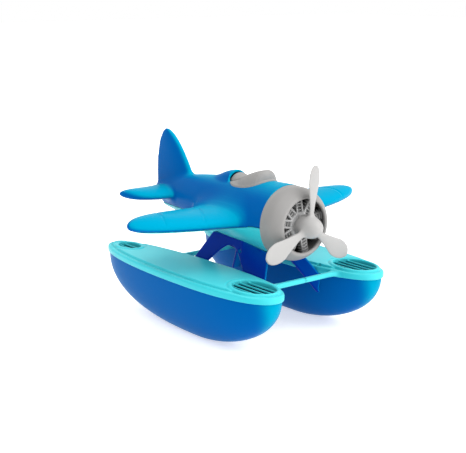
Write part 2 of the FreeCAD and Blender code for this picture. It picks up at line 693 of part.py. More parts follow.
for pin in saddle_pins:
    frame = frame.cut(pin)
    belly = belly.cut(pin)
starboard_hull = mirrored(port_hull)
for pin in foot_pins:
    frame = frame.cut(pin)
    port_hull = port_hull.cut(pin)
    starboard_hull = starboard_hull.cut(pin)

# round holes: one in each strut side, one in each deck rim beside the front leg
side_hole = Part.makeCylinder(dim("mould_hole_radius"), 12, Vector(32.5, 16, 66.8), Vector(0, 1, 0))
frame = frame.cut(side_hole).cut(mirrored(side_hole))
rim_hole = Part.makeCylinder(dim("mould_hole_radius"), 6, Vector(67.5, 32.8, 51.2))
decks = decks.cut(rim_hole).cut(mirrored(rim_hole))

feature("upper_shell", upper)
feature("belly_shell", belly)
feature("cockpit_insert", cockpit)
feature("engine_cowl", cowl)
feature("radial_engine", engine)
feature("propeller", propeller)
feature("strut_frame", frame)
feature("float_decks", decks)
feature("float_hull_port", port_hull)
feature("float_hull_starboard", starboard_hull)
feature("saddle_pins", Part.makeCompound(saddle_pins))
feature("foot_pins", Part.makeCompound(foot_pins))

# ------------------------------------------------- turned pieces on the axis


def turned_body(label, x, radii, length):
    """A round piece along X: a sketch of circles on the YZ plane, padded forward."""
    part = doc.addObject("PartDesign::Body", label)
    part.Label = label
    plane = [item for item in part.Origin.OriginFeatures if item.Role == "YZ_Plane"][0]
    sketch = part.newObject("Sketcher::SketchObject", label + "_section")
    sketch.AttachmentSupport = [(plane, "")]
    sketch.MapMode = "FlatFace"
    for alias in radii:
        circle = Part.Circle(Vector(0, 0, 0), Vector(0, 0, 1), dim(alias))
        index = sketch.addGeometry(circle, False)
        sketch.addConstraint(Sketcher.Constraint("Coincident", index, 3, -1, 1))
        radius = sketch.addConstraint(Sketcher.Constraint("Radius", index, dim(alias)))
        sketch.setExpression(f"Constraints[{radius}]", f"dims.{alias}")
    pad = part.newObject("PartDesign::Pad", label + "_pad")
    pad.Profile = sketch
    pad.setExpression("Length", f"dims.{length}")
    part.setExpression("Placement.Base.x", f"dims.{x}")
    part.setExpression("Placement.Base.z", "dims.axis_z")
    return part, pad


shaft, shaft_pad = turned_body("propeller_shaft", "shaft_back_x", ["shaft_radius"], "shaft_length")
doc.recompute()
chamfer = shaft.newObject("PartDesign::Chamfer", "shaft_ends")
chamfer.Base = (shaft_pad, ["Edge1", "Edge3"])
chamfer.Size = 0.5
turned_body("shaft_retainer", "retainer_x", ["retainer_radius", "shaft_radius"],
            "retainer_thickness")
doc.recompute()

# -------------------------------------------------------------- check, write


def sub_parts():
    kinds = ("Part::Feature", "PartDesign::Body")
    return [obj for obj in doc.Objects if obj.TypeId in kinds]


for obj in doc.Objects:
    if "Invalid" in obj.State or "Error" in obj.State:
        raise RuntimeError(f"{obj.Label} failed: {obj.State}")
for obj in sub_parts():
    if obj.Shape.isNull() or not obj.Shape.isValid() or obj.Shape.Volume <= 0:
        raise RuntimeError(f"{obj.Label} has no valid shape")

os.makedirs("parts", exist_ok=True)
for obj in sub_parts():
    obj.Shape.exportStep(f"parts/{obj.Label}.step")
    limits = obj.Shape.BoundBox
    print(f"{obj.Label}: {len(obj.Shape.Solids)} solids, {obj.Shape.Volume:.0f} mm3, "
          f"x {limits.XMin:.1f}..{limits.XMax:.1f}, y {limits.YMin:.1f}..{limits.YMax:.1f}, "
          f"z {limits.ZMin:.1f}..{limits.ZMax:.1f}")
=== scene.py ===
import math

import bpy
import numpy as np
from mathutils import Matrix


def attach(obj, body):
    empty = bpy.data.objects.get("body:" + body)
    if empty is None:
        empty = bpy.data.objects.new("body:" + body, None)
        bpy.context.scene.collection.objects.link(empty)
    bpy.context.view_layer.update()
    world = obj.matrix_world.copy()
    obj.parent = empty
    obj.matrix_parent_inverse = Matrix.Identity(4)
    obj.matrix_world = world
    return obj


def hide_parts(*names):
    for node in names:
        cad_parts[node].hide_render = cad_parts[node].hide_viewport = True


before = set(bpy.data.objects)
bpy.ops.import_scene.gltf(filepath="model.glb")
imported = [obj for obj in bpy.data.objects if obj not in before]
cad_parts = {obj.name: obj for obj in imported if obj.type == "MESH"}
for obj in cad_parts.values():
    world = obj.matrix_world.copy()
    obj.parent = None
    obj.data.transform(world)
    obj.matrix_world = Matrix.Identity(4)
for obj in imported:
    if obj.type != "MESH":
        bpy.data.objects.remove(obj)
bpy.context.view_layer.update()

import openvdb as vdb
from mathutils import Vector

# The meshes are worked out in millimetres in the frame's own axes and scaled to metres at the end.
MM = 0.001
VOXEL_SCALE = 1.0


# ---------------------------------------------------------------- distance fields

class Grid:
    """A box of space with evenly spaced sample points, for distance fields in millimetres."""

    def __init__(self, low, high, step):
        self.step = step * VOXEL_SCALE
        self.low = np.array(low, float)
        counts = [int(math.ceil((b - a) / self.step)) + 1 for a, b in zip(low, high)]
        axes = [np.float32(a + self.step * np.arange(n)) for a, n in zip(low, counts)]
        self.x = axes[0][:, None, None]
        self.y = axes[1][None, :, None]
        self.z = axes[2][None, None, :]
        self.shape = tuple(counts)

    def even(self, field):
        """The same surface with a slope near 1, so that offsets and blends have a real width."""
        gx, gy, gz = np.gradient(field, self.step)
        slope = np.sqrt(gx * gx + gy * gy + gz * gz)
        return field / np.maximum(slope, 1e-3 * float(np.median(slope)) + 1e-6)

    def volume(self, field):
        """The field as a sparse volume, in millimetres from the low corner of the box."""
        grid = vdb.FloatGrid(float(self.step * 4))
        grid.copyFromArray(np.ascontiguousarray(field, dtype=np.float32))
        grid.transform = vdb.createLinearTransform(voxelSize=self.step)
        return grid

    def surface(self, field, level=0.0):
        """Points and faces of the surface where the field has that level."""
        points, quads = self.volume(field).convertToQuads(isovalue=level)
        return points + self.low, quads


def blend_in(a, b, width):
    """Union of two solids with a moulded fillet of about that width."""
    h = np.clip(0.5 + 0.5 * (b - a) / width, 0, 1)
    return b + (a - b) * h - width * h * (1 - h)


def keep_in(a, b, width):
    """What is inside both solids, with a rounded edge of about that width."""
    return -blend_in(-a, -b, width)


def loft(rings):
    """Points and triangles of a closed solid through rings that have equally many points."""
    rings = np.asarray(rings, float)
    layers, count = rings.shape[:2]
    points = [tuple(p) for p in rings.reshape(-1, 3)]
    faces = []
    for i in range(layers - 1):
        for j in range(count):
            a, b = i * count + j, i * count + (j + 1) % count
            faces += [(a, b, b + count), (a, b + count, a + count)]
    for layer, turned in ((0, True), (layers - 1, False)):
        points.append(tuple(rings[layer].mean(axis=0)))
        for j in range(count):
            a, b = layer * count + j, layer * count + (j + 1) % count
            faces.append((b, a, len(points) - 1) if turned else (a, b, len(points) - 1))
    return np.array(points), np.array(faces)


def both_sides(points, faces):
    """The solid and its mirror image in the plane of symmetry."""
    other = points * (1, -1, 1)
    return np.vstack([points, other]), np.vstack([faces, faces[:, ::-1] + len(points)])


def solid_field(grid, solid, reach):
    """Distance to a closed solid, exact as far out as reach."""
    points, faces = solid
    band = reach / grid.step + 2
    volume = vdb.FloatGrid.createLevelSetFromPolygons(
        np.ascontiguousarray(points - grid.low, np.float32), triangles=faces.astype(np.uint32),
        transform=vdb.createLinearTransform(voxelSize=grid.step), exBandWidth=band, inBandWidth=band)
    field = np.zeros(grid.shape, np.float32)
    volume.copyToArray(field)
    return field


# ---------------------------------------------------------------- meshes

def build(name, points, faces, node, body, slot, material):
    """A smooth mesh object that stands for a CAD node."""
    mesh = bpy.data.meshes.new(name)
    mesh.from_pydata((np.asarray(points) * MM).tolist(), [], np.asarray(faces).tolist())
    mesh.validate()
    mesh.update()
    corners = np.asarray(points)[np.asarray(faces)[:, :3]]
    volume = float(np.einsum("ij,ij->i", corners[:, 0], np.cross(corners[:, 1], corners[:, 2])).sum())
    if volume < 0:
        mesh.flip_normals()
    mesh.shade_smooth()
    mesh.materials.append(material)
    piece = bpy.data.objects.new(name, mesh)
    bpy.context.scene.collection.objects.link(piece)
    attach(piece, body)
    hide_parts(node)
    print(name, len(mesh.vertices), "vertices", len(mesh.polygons), "faces")
    return piece


def node_triangles(node):
    """A CAD node's points in millimetres and its triangles."""
    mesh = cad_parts[node].data
    mesh.calc_loop_triangles()
    points = np.zeros(len(mesh.vertices) * 3, np.float32)
    mesh.vertices.foreach_get("co", points)
    triangles = np.zeros(len(mesh.loop_triangles) * 3, np.int32)
    mesh.loop_triangles.foreach_get("vertices", triangles)
    return points.reshape(-1, 3) / MM, triangles.reshape(-1, 3).astype(np.uint32)


def distance_volume(points, triangles, quads, step, reach):
    """Distances to a closed surface as a sparse volume, exact as far out as reach."""
    band = reach / step + 3
    return vdb.FloatGrid.createLevelSetFromPolygons(
        np.ascontiguousarray(points, np.float32), triangles=triangles, quads=quads,
        transform=vdb.createLinearTransform(voxelSize=step), exBandWidth=band, inBandWidth=band)


def softened(node, step, edge, hollow=0.0):
    """A CAD node's surface with its outer edges and its inner corners rounded, as a mould leaves them."""
    step = step * VOXEL_SCALE
    points, triangles = node_triangles(node)
    volume = distance_volume(points, triangles, None, step, max(edge, hollow))
    if hollow > 0:
        points, quads = volume.convertToQuads(isovalue=hollow)
        volume = distance_volume(points, None, quads, step, max(edge, hollow))
        points, quads = volume.convertToQuads(isovalue=-hollow)
        volume = distance_volume(points, None, quads, step, edge)
    points, quads = volume.convertToQuads(isovalue=-edge)
    volume = distance_volume(points, None, quads, step, edge)
    return volume.convertToQuads(isovalue=edge)


# ---------------------------------------------------------------- materials

# painted light and shade: the tone of a plastic follows its normal in the object's frame, painted lightest
# on faces turned to one fixed side as if lit from there, and painted darker on both flanks alike, so that
# port and starboard match
PAINTED_LIGHT_SIDE, FLANK_SHADE = (0.75, 0.0, 0.48), (0.0, -0.45, 0.0)
# where the painted shade and light tones lie between turned away (0) and facing (1); the middle one fills
# a stretch
SIDE_TONE, LIGHT_TONE = (0.20, 0.43), 0.74
FLOW_SCALE, GLOSS_SCALE, GRAIN_SCALE = 22.0, 60.0, 2400.0
GRAIN_DEPTH = 0.0001
SHEEN_ROUGHNESS = 0.3
# colour of the painted shade at the back of the engine
PAINTED_SHADE_BLACK = (0.004, 0.004, 0.004, 1)


def plastic(name, tones, roughness, mottle=0.04, grain=0.12, shine=0.4, sheen=0.0, edge_tint=(1, 1, 1)):
    """Moulded plastic with slight flow marks, uneven gloss and a fine grain.  Its three tones are painted
    light and shade:
    those of faces turned away from, across and towards the painted light side."""
    material = bpy.data.materials.new(name)
    material.use_nodes = True
    nodes, links = material.node_tree.nodes, material.node_tree.links
    shader = nodes["Principled BSDF"]
    place = nodes.new("ShaderNodeTexCoord")

    def noise(scale, detail, distortion=0.0):
        texture = nodes.new("ShaderNodeTexNoise")
        texture.inputs["Scale"].default_value = scale
        texture.inputs["Detail"].default_value = detail
        texture.inputs["Distortion"].default_value = distortion
        links.new(place.outputs["Object"], texture.inputs["Vector"])
        return texture.outputs["Fac"]

    def spread(source, low, high):
        ranged = nodes.new("ShaderNodeMapRange")
        ranged.inputs["To Min"].default_value = low
        ranged.inputs["To Max"].default_value = high
        links.new(source, ranged.inputs["Value"])
        return ranged.outputs["Result"]

    # painted light and shade: the base colour comes from how each face is turned to the painted light
    # side, darker on the flanks; random flow marks are added to it
    facing = nodes.new("ShaderNodeVectorMath")
    facing.operation = "DOT_PRODUCT"
    facing.inputs[1].default_value = PAINTED_LIGHT_SIDE
    links.new(place.outputs["Normal"], facing.inputs[0])
    unsigned = nodes.new("ShaderNodeVectorMath")
    unsigned.operation = "ABSOLUTE"
    links.new(place.outputs["Normal"], unsigned.inputs[0])
    flank = nodes.new("ShaderNodeVectorMath")
    flank.operation = "DOT_PRODUCT"
    flank.inputs[1].default_value = FLANK_SHADE
    links.new(unsigned.outputs["Vector"], flank.inputs[0])
    both = nodes.new("ShaderNodeMath")
    both.operation = "ADD"
    links.new(facing.outputs["Value"], both.inputs[0])
    links.new(flank.outputs["Value"], both.inputs[1])
    slope = nodes.new("ShaderNodeMapRange")
    slope.inputs["From Min"].default_value = -1.0
    links.new(both.outputs["Value"], slope.inputs["Value"])
    painted_shade_and_flow = nodes.new("ShaderNodeMath")
    painted_shade_and_flow.operation = "ADD"
    links.new(slope.outputs["Result"], painted_shade_and_flow.inputs[0])
    links.new(spread(noise(FLOW_SCALE, 4.0, 0.6), -mottle, mottle), painted_shade_and_flow.inputs[1])
    painted_shade_ramp = nodes.new("ShaderNodeValToRGB")
    painted_shade_ramp.color_ramp.interpolation = "EASE"
    painted_shade_ramp.color_ramp.elements[0].color = [*tones[0], 1]
    painted_shade_ramp.color_ramp.elements[1].position = LIGHT_TONE
    painted_shade_ramp.color_ramp.elements[1].color = [*tones[2], 1]
    for at in SIDE_TONE:
        painted_shade_ramp.color_ramp.elements.new(at).color = [*tones[1], 1]
    links.new(painted_shade_and_flow.outputs["Value"], painted_shade_ramp.inputs["Fac"])
    links.new(painted_shade_ramp.outputs["Color"], shader.inputs["Base Color"])
    gloss = spread(noise(GLOSS_SCALE, 3.0), roughness - 0.05, roughness + 0.06)
    links.new(gloss, shader.inputs["Roughness"])

    bump = nodes.new("ShaderNodeBump")
    bump.inputs["Strength"].default_value = grain
    bump.inputs["Distance"].default_value = GRAIN_DEPTH
    links.new(noise(GRAIN_SCALE, 2.0), bump.inputs["Height"])
    links.new(bump.outputs["Normal"], shader.inputs["Normal"])

    shader.inputs["Specular IOR Level"].default_value = shine
    shader.inputs["Specular Tint"].default_value = [*edge_tint, 1]
    shader.inputs["Sheen Weight"].default_value = sheen
    shader.inputs["Sheen Roughness"].default_value = SHEEN_ROUGHNESS
    shader.inputs["Sheen Tint"].default_value = [*edge_tint, 1]
    return material


CYAN = (0.0, 0.85, 0.75)
blue = plastic("blue_plastic", [(0.0, 0.080, 0.32), (0.0, 0.086, 0.31), (0.0, 0.26, 0.42)], 0.30,
               shine=0.015, sheen=0.12, edge_tint=CYAN)
# painted shade: a darker copy of the blue plastic for the strut frame, which stands in shade between the
# floats; it is the same blue plastic
painted_shade_blue = plastic("painted_shade_blue_plastic", [(0.0, 0.008, 0.16), (0.0, 0.020, 0.26), (0.0, 0.14, 0.42)], 0.30,
                    shine=0.05, sheen=0.10, edge_tint=CYAN)
teal = plastic("teal_plastic", [(0.002, 0.22, 0.30), (0.03, 0.46, 0.52), (0.05, 0.50, 0.55)], 0.36,
               shine=0.2, sheen=0.2, edge_tint=(0.4, 1.0, 0.95))
grey = plastic("grey_plastic", [(0.17, 0.17, 0.17), (0.215, 0.21, 0.205), (0.24, 0.235, 0.23)],
               0.5, grain=0.25)
light_grey = plastic("light_grey_plastic", [(0.28, 0.275, 0.27), (0.31, 0.305, 0.30), (0.33, 0.325, 0.32)],
                     0.46, grain=0.2)
engine_grey = plastic("engine_plastic", [(0.30, 0.30, 0.30), (0.42, 0.42, 0.42), (0.50, 0.50, 0.50)],
                      0.35, mottle=0.05, grain=0.25)


def paint_depth_shade(material, back, front):
    """Paints shade into a material, darker towards the back of the cowl, between two places along X in
    metres.
    """
    nodes, links = material.node_tree.nodes, material.node_tree.links
    shader = nodes["Principled BSDF"]
    plain = shader.inputs["Base Color"].links[0].from_socket
    place = nodes.new("ShaderNodeTexCoord")
    parts = nodes.new("ShaderNodeSeparateXYZ")
    links.new(place.outputs["Object"], parts.inputs["Vector"])
    depth = nodes.new("ShaderNodeMapRange")
    depth.inputs["From Min"].default_value = back
    depth.inputs["From Max"].default_value = front
    links.new(parts.outputs["X"], depth.inputs["Value"])
    mix = nodes.new("ShaderNodeMixRGB")
    mix.inputs["Color1"].default_value = PAINTED_SHADE_BLACK
    links.new(depth.outputs["Result"], mix.inputs["Fac"])
    links.new(plain, mix.inputs["Color2"])
    links.new(mix.outputs["Color"], shader.inputs["Base Color"])


# painted shade: the engine's colour goes nearly black towards the back of the cowl, where the gaps between
# the cylinders lie in shade
ENGINE_DARK_X, ENGINE_LIGHT_X = 0.0745, 0.0812
paint_depth_shade(engine_grey, ENGINE_DARK_X, ENGINE_LIGHT_X)


# ---------------------------------------------------------------- airframe

AXIS_Z = 94.0
# fuselage: its ends, and its half width, rise and drop from the axis at the nose, and the drop at the tail
BODY_TAIL, BODY_NOSE = -112.0, 65.4
BODY_HALF, BODY_RISE, BODY_DROP, TAIL_DROP = 28.4, 30.4, 28.6, 12.5
SIDE_TAPER, BACK_TAPER, TAIL_ROUNDING = 0.7, 0.42, 0.055
# wing: WING_X is where its front and rear edges meet at the tip, and the next two are its reach from there
WING_X, WING_FRONT, WING_REAR = 16.5, 23.3, 36.4
WING_ROOT_Y, WING_TIP_Y, WING_END_Y = 22.0, 120.6, 120.4
WING_ROOT_Z, WING_LIFT, WING_THICKNESS = 91.5, 6.4, 18.6
WING_TAPER, WING_TAPER_ROOT = 2.24, 1 / 1.49
# pans: the belly moulding's part of each wing, set in from the edge of the wing
PAN_INSET, PAN_ROOT_Z, PAN_SLOPE = 3, 87.5, 0.065
# tailplane and fin, laid out as the wing is
STAB_X, STAB_FRONT, STAB_REAR, STAB_END_Y = -105.4, 33, 10.4, 48.8
STAB_Z, STAB_THICKNESS = 95.2, 11.6
FIN_X, FIN_FRONT, FIN_REAR = -100.5, 39.0, 11.1
FIN_FOOT, FIN_HEIGHT, FIN_THICKNESS = 112.5, 39.7, 12.5
# divides the height of a wing section's bulge, which is 0.88 of the stated thickness at its fullest
SECTION_SCALE = 0.5038
# joint of the two shells: heights at the nose and further back, half width and half gap
SPLIT_NOSE_Z, SPLIT_TAIL_Z, SPLIT_TAIL_X, SPLIT_HALF, SPLIT_GAP = 92.2, 84.2, -91, 29.0, 0.12
BODY_WALL, WING_WALL, HOLLOW_END_Y, TAIL_SOLID = 2.4, 2.6, 104, 12.5
# headrest fairing: front, height of its middle, radius, length
ARCH_X, ARCH_Z, ARCH_R, FAIRING_LENGTH = 1.6, 117.3, 10.6, 30
# cockpit well: middles of its round ends along X, and its radius
WELL_REAR, WELL_FRONT, WELL_R = 8.5, 30, 10.5
AROUND = np.linspace(0, 2 * math.pi, 72, endpoint=False)


def body_profile(x):
    """Half width, rise and drop of the fuselage along its length."""
    share = np.clip((x - BODY_TAIL) / (BODY_NOSE - BODY_TAIL), 0.0015, 1)
    ahead = 1 - share
    fullness = 1 - ahead ** 1.6
    half = BODY_HALF * fullness ** SIDE_TAPER
    rise = BODY_RISE * fullness ** BACK_TAPER
    drop = TAIL_DROP + (BODY_DROP - TAIL_DROP) * (1 - ahead ** 1.25)
    end = np.sqrt(1 - (1 - np.minimum(share / TAIL_ROUNDING, 1)) ** 2)
    return half * end ** 0.3, rise * end ** 0.6, drop * end


def body_solid(inset=0.0):
    """The fuselage; it runs past the nose so that its front can be cut flat."""
    places = np.concatenate([BODY_TAIL + inset + 0.3 + 10 * np.linspace(0, 1, 14) ** 2,
                             np.linspace(BODY_TAIL + inset + 14, BODY_NOSE + 8, 40)])
    rings = []
    for x in places:
        half, rise, drop = body_profile(x)
        height = np.where(np.sin(AROUND) > 0, rise, drop) - inset
        rings.append(np.stack([np.full_like(AROUND, x), (half - inset) * np.cos(AROUND),
                               AXIS_Z + height * np.sin(AROUND)], axis=1))
    return loft(rings)


def aerofoil(front, rear, y, z, thickness):
    """Closed ring of a wing section: rounded in front, blunt and thin behind."""
    shares = np.linspace(0, 1, 26) ** 1.7
    lift = np.sqrt(shares) * (1 - shares) ** 0.7 / SECTION_SCALE
    x = front - (front - rear) * shares
    upper = z + 0.54 * thickness * lift + 0.45 * shares
    lower = z - 0.46 * thickness * lift - 0.45 * shares
    ring_x = np.concatenate([x[::-1], x[1:]])
    ring_z = np.concatenate([lower[::-1], upper[1:]])
    return np.stack([ring_x, np.full(len(ring_x), y), ring_z], axis=1)


def wing_solid(inset=0.0, last=WING_END_Y):
    """Both wings, with a root that widens into the body."""
    rings = []
    for y in 8 + (last - 8) * np.sin(np.linspace(0, math.pi / 2, 44)):
        share = min(max((y - WING_ROOT_Y) / (WING_TIP_Y - inset - WING_ROOT_Y), 0), 1)
        taper = (1 - share ** WING_TAPER) ** WING_TAPER_ROOT
        flare = math.exp(-max(y - 27, 0) / 7)
        front = WING_X + (WING_FRONT - inset) * taper + 5 * flare
        rear = WING_X - (WING_REAR - inset) * taper - 6 * flare
        thickness = WING_THICKNESS * (1 - 0.14 * share) * math.sqrt(1 - share ** 8.5) - 1.6 * inset
        middle = WING_ROOT_Z + WING_LIFT * share
        rings.append(aerofoil(front, rear, y, middle, thickness * (1 + 0.3 * flare)))
    return both_sides(*loft(rings))


def stab_solid():
    """Both halves of the tailplane."""
    rings = []
    for y in 2 + (STAB_END_Y - 2) * np.sin(np.linspace(0, math.pi / 2, 30)):
        share = min(max((y - 8) / 41.0, 0), 1)
        taper = (1 - share ** 2.71) ** (1 / 1.74)
        flare = math.exp(-max(y - 10, 0) / 5)
        front = STAB_X + STAB_FRONT * taper + 2 * flare
        thickness = STAB_THICKNESS * (1 - 0.1 * share) * math.sqrt(1 - share ** 8) * (1 + 0.2 * flare)
        rings.append(aerofoil(front, STAB_X - STAB_REAR * taper, y, STAB_Z + share, thickness))
    return both_sides(*loft(rings))


def fin_solid():
    """The fin: upright aerofoil with a flat strip along its rear edge."""
    rings = []
    for share in -0.45 + 1.442 * np.sin(np.linspace(0, math.pi / 2, 34)):
        height = max(share, 0)
        rear = FIN_X - FIN_REAR * (1 - height ** 2.6) ** 0.65
        front = FIN_X + FIN_FRONT * (1 - height ** 1.05) ** 0.6 - 6 * min(share, 0)
        thickness = FIN_THICKNESS * (1 - 0.45 * height) * math.sqrt(1 - height ** 9)
        along = np.linspace(0, 1, 22) ** 1.6
        y = thickness * np.sqrt(along) * (1 - 0.72 * along)
        x = front - (front - rear) * along
        ring_x = np.concatenate([x[::-1], x[1:]])
        ring_y = np.concatenate([-y[::-1], y[1:]])
        ring_z = np.full(len(ring_x), FIN_FOOT + FIN_HEIGHT * share)
        rings.append(np.stack([ring_x, ring_y, ring_z], axis=1))
    return loft(rings)


def fairing_solid(radius, front_x, tail_x):
    """Arched fairing that shrinks towards the tail."""
    rings = []
    for share in np.linspace(0, 1, 16):
        size = radius * math.cos(share * 1.25)
        x = np.full_like(AROUND, front_x + (tail_x - front_x) * share)
        z = ARCH_Z - 3.2 * share + size * np.sin(AROUND)
        rings.append(np.stack([x, size * np.cos(AROUND), z], axis=1))
    return loft(rings)


def slot_field(grid, x0, x1, radius, low):
    """Upright well with round ends along the middle line."""
    along = grid.x - np.clip(grid.x, x0, x1)
    return np.maximum(np.sqrt(along ** 2 + grid.y ** 2) - radius, low - grid.z)


def pan_zone(grid):
    """Column under each wing that the belly moulding fills; it reaches forward and up at the root."""
    y = np.abs(grid.y)
    root = np.exp(-np.maximum(y - 27, 0) / 7)
    inner = np.clip((y - WING_ROOT_Y) / (WING_TIP_Y - PAN_INSET - WING_ROOT_Y), 0, 1)
    taper = np.maximum(1 - inner ** WING_TAPER, 0) ** WING_TAPER_ROOT
    front = WING_X + (WING_FRONT - PAN_INSET) * taper + 30 * root ** 1.5
    rear = WING_X - (WING_REAR - PAN_INSET) * taper - 8 * root
    outline = grid.even(np.maximum(grid.x - front, rear - grid.x) + 0 * grid.z)
    outline = np.maximum(np.maximum(outline, y - (WING_TIP_Y - PAN_INSET)), 20 - y)
    top = PAN_ROOT_Z + PAN_SLOPE * (y - WING_ROOT_Y) + np.clip((grid.x - 10) / 30, 0, 1) * 3.4 * root
    return np.maximum(outline, grid.z - top)


def belly_zone(grid):
    """Space below the joint of the two shells, with the pans of the wings."""
    slope = (SPLIT_NOSE_Z - SPLIT_TAIL_Z) / (BODY_NOSE - SPLIT_TAIL_X)
    line = SPLIT_NOSE_Z - slope * (BODY_NOSE - grid.x)
    low = np.maximum(grid.z - line, np.abs(grid.y) - SPLIT_HALF)
    return np.minimum(low, pan_zone(grid))


def panel_lines(grid):
    """Depth of the two moulded chordwise lines on the upper side of each wing; the inner stops at x 8."""
    y = np.abs(grid.y)
    ahead = grid.x - 17
    outer = np.abs(y - (90 + 0.40 * ahead - 0.003 * ahead ** 2))
    inner = np.abs(y - (51 + 0.50 * ahead)) + 3 * (grid.x < 8)
    above = 1 / (1 + np.exp(-(grid.z - 93.0 - PAN_SLOPE * (y - WING_ROOT_Y)) / 0.8))
    return 0.7 * np.exp(-(np.minimum(outer, inner) / 0.7) ** 2) * above * (y > 35)


def airframe():
    """The hollow airframe, cut into the upper shell and the belly shell."""
    grid = Grid((-119, -123, 62), (70, 123, 155), 0.8)
    body = solid_field(grid, body_solid(), 16)
    form = blend_in(body, solid_field(grid, wing_solid(), 16), 14.0)
    form = blend_in(form, solid_field(grid, stab_solid(), 9), 5.0)
    form = blend_in(form, solid_field(grid, fin_solid(), 9), 4.0)
    hump = solid_field(grid, fairing_solid(ARCH_R, ARCH_X, ARCH_X - FAIRING_LENGTH), 5)
    form = blend_in(form, hump, 2.5)
    form = form + panel_lines(grid)
    form = keep_in(form, grid.x - BODY_NOSE + 0 * form, 0.8)
    hollow = solid_field(grid, body_solid(BODY_WALL), 3)
    hollow = np.minimum(hollow, solid_field(grid, wing_solid(WING_WALL, HOLLOW_END_Y), 3))
    skin = np.maximum(form, -np.maximum(hollow, BODY_TAIL + TAIL_SOLID - grid.x))

    zone = belly_zone(grid)
    upper = keep_in(skin, -zone + SPLIT_GAP, 0.6)
    bore = solid_field(grid, fairing_solid(ARCH_R - 1.7, ARCH_X + 1, ARCH_X - 13), 3)
    well = np.maximum(slot_field(grid, WELL_REAR, WELL_FRONT, WELL_R, 108), -hump)
    upper = keep_in(upper, -np.minimum(bore, well), 0.8)
    build("upper_shell_skin", *grid.surface(upper), "upper_shell", "airframe", "blue_plastic", blue)
    belly = keep_in(skin, zone + SPLIT_GAP, 0.6)
    build("belly_shell_skin", *grid.surface(belly), "belly_shell", "airframe", "teal_plastic", teal)


airframe()


# ---------------------------------------------------------------- cockpit

# windscreen arches: place along X, height above SCREEN_FOOT, half width at SCREEN_FOOT
SCREEN_FOOT = 112.0
SCREEN_ARCHES = [
    (10.8, 5.0, 5.0), (11.4, 7.4, 8.0), (12.6, 9.8, 10.8), (15.0, 12.4, 13.4), (19.0, 14.4, 15.1),
    (24.2, 16.5, 15.8), (29.6, 18.4, 15.4), (35.0, 19.9, 14.2), (38.0, 20.4, 12.8),
    (40.2, 19.8, 10.6), (41.8, 17.8, 7.6), (42.8, 15.0, 4.8), (43.2, 11.0, 2.5),
]
HEADREST_X, HEADREST_R = ARCH_X + 4, ARCH_R - 2.0
# flange: middle, reach ahead of it and behind it, half width
FLANGE_X, FLANGE_AHEAD, FLANGE_BEHIND, FLANGE_HALF = 22, 22.0, 21.2, 15.6


def screen_solid():
    """Windscreen hump: low behind, rising forward, steep and blunt in front."""
    across, up = np.cos(AROUND), np.sin(AROUND)
    across, up = np.sign(across) * np.abs(across) ** 0.8, np.sign(up) * np.abs(up) ** 0.8
    return loft([np.stack([np.full_like(AROUND, x), half * across, SCREEN_FOOT + height * up], axis=1)
                 for x, height, half in SCREEN_ARCHES])


def cockpit():
    """One grey moulding: headrest, windscreen hump and a thin flange on the fuselage."""
    grid = Grid((-12, -20, 113), (50, 20, 135), 0.4)
    body = solid_field(grid, body_solid(), 4)
    screen = solid_field(grid, screen_solid(), 5)
    ball = np.sqrt((grid.x - ARCH_X - 4) ** 2 + grid.y ** 2 + (grid.z - ARCH_Z) ** 2) - HEADREST_R
    screen = keep_in(screen, 3.0 - ball, 0.8)
    neck = solid_field(grid, fairing_solid(ARCH_R - 2.8, HEADREST_X, ARCH_X - 12), 4)
    rest = np.minimum(neck, ball)
    pan = np.maximum(slot_field(grid, WELL_REAR, WELL_FRONT, WELL_R - 0.1, 115), grid.z - 118.5)
    ahead = np.where(grid.x > FLANGE_X, (grid.x - FLANGE_X) / FLANGE_AHEAD,
                     (FLANGE_X - grid.x) / FLANGE_BEHIND)
    plan = np.abs(ahead) ** 2.5 + np.abs(grid.y / FLANGE_HALF) ** 2.5 - 1 + 0 * grid.z
    flange = keep_in(grid.even(plan), np.maximum(body - 0.8, -0.8 - body), 0.4)
    form = blend_in(blend_in(screen, flange, 0.9), np.minimum(rest, pan), 0.6)
    groove = np.maximum(np.abs(ball - 1.6) - 1.4, -6.0 - body)
    form = np.maximum(form, -groove)
    form = np.maximum(form, 114.5 - grid.z)
    build("cockpit_insert_moulding", *grid.surface(form), "cockpit_insert",
          "airframe", "grey_plastic", grey)


cockpit()


# ---------------------------------------------------------------- floats

# plan of a deck: its ends, where it is widest, its middle line and half width, and its exponents
BOW_X, STERN_X, WIDE_X, CENTRE_Y, HALF_Y = 115.9, -110.4, 20.5, 53.9, 27.2
BOW_BLUNT, STERN_BLUNT, SIDE_BLUNT = 2 / 0.80, 2 / 0.95, 2 / 0.9
RIM_LOW, RIM_TOP, RIM_OVERHANG, CROWN = 47.4, 53.0, 1.7, 1.4
# hull: depth of its form below the rim (the keel is cut flat at z 0), wall, upper edge
HULL_DEPTH, HULL_WALL, HULL_TOP = 48.3, 2.2, 50.1
# vents: middle along X, half length, half width, slats
VENTS = [(87.8, 21.4, 14.3, 4), (-83.5, 13.0, 8.4, 2)]
SLAT_HALF, SLAT_HALF_HEIGHT = 0.5, 1.0
# cross bars: place along X and the half distance between the rims there
BARS = [(85.9, 32.1), (-38.0, 29.1)]
BAR_Z, BAR_HALF = 49.9, 2.0
# small round hole near the inner edge of the deck
RIM_HOLE_X, RIM_HOLE_Y, RIM_HOLE_R = 67.5, 32.8, 1.7


def even_plan(grid, field):
    """A plan field, the same at every height, with a slope near 1."""
    gx, gy = np.gradient(field[:, :, 0], grid.step)
    return (field[:, :, 0] / np.maximum(np.hypot(gx, gy), 1e-3))[:, :, None]


